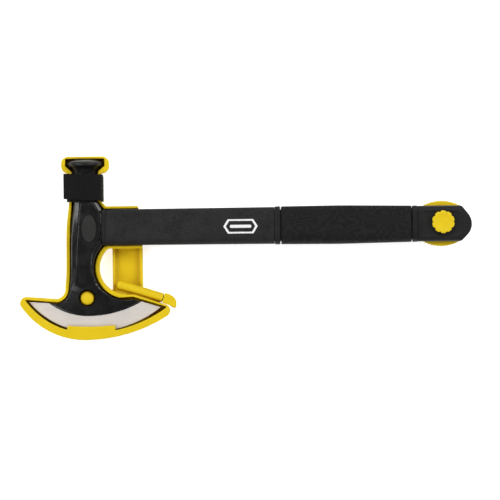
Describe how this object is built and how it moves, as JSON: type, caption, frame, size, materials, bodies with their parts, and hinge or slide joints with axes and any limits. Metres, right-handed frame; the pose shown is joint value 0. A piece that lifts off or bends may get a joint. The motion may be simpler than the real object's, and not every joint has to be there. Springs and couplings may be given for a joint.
{
  "type": "survival hatchet in belt sheath",
  "caption": "Compact hatchet with hammer poll, rubber grip and pull-out saw, held in an open belt sheath with a hook-and-loop strap and a fire steel.",
  "frame": {"origin": "middle of the footprint, on the surface that the sheath's back and the grip rest on", "axes": "+X along the handle to the butt, +Y from the cutting edge to the hammer face, +Z out of the face that is seen, away from the surface"},
  "size_m": [0.3558, 0.1445, 0.0311],
  "materials": {
    "black_coated_steel": "matte black coating, bare ground edge",
    "black_nylon": "fine moulded grain",
    "satin_black_plastic": "satin",
    "grip_rubber": "matt rubber with a contour-line relief",
    "yellow_plastic": "satin moulded",
    "bright_steel": "brushed",
    "brass": "machined",
    "hook_and_loop": "woven hook-and-loop tape",
    "ferrocerium": "dull grey rod"
  },
  "bodies": {
    "sheath_body": {"sheath": "yellow_plastic", "strap_band": "hook_and_loop", "strap_rivet": "bright_steel"},
    "axe": {"axe_head": "black_coated_steel", "eye_plug": "black_nylon", "tang_pins": "bright_steel", "head_collar": "satin_black_plastic", "handle_shaft": "black_nylon", "front_ring": "satin_black_plastic", "rubber_grip": "grip_rubber", "rear_ring": "satin_black_plastic", "end_cap": "satin_black_plastic", "cap_screws": "bright_steel", "knob_insert": "brass"},
    "strap_end": {"strap_flap": "hook_and_loop"},
    "fire_steel": {"fire_steel_rod": "ferrocerium", "fire_steel_cap": "yellow_plastic"},
    "saw": {"saw_blade": "bright_steel", "saw_tail": "yellow_plastic", "saw_rivets": "bright_steel"},
    "washer": {"clamp_washer": "bright_steel"},
    "knob": {"thumb_knob": "yellow_plastic", "knob_screw": "bright_steel"}
  },
  "joints": [
    {"name": "head_lift", "type": "hinge", "parent": "sheath_body", "child": "axe", "pos_m": [-0.12175, -0.06015, 0.0164], "axis": [1, 0, 0], "range_deg": [0, 75], "deforming": ["strap_band", "strap_flap"]},
    {"name": "strap_open", "type": "hinge", "parent": "sheath_body", "child": "strap_end", "pos_m": [-0.11145, 0.04905, 0.0164], "axis": [0, 1, 0], "range_deg": [0, 140]},
    {"name": "fire_steel_pull", "type": "slide", "parent": "sheath_body", "child": "fire_steel", "axis": [0.9537, -0.3007, 0], "range_m": [0, 0.045]},
    {"name": "saw_pull", "type": "slide", "parent": "axe", "child": "saw", "axis": [1, 0, 0], "range_m": [0, 0.19]},
    {"name": "knob_rise", "type": "slide", "parent": "axe", "child": "washer", "axis": [0, 0, 1], "range_m": [0, 0.0014]},
    {"name": "knob_turn", "type": "hinge", "parent": "washer", "child": "knob", "pos_m": [0.15545, 0.01745, 0.0272], "axis": [0, 0, 1], "range_deg": [0, 720]}
  ],
  "couplings": [
    {"joint": "knob_turn", "follows": "knob_rise", "rad_per_m": 8976}
  ]
}
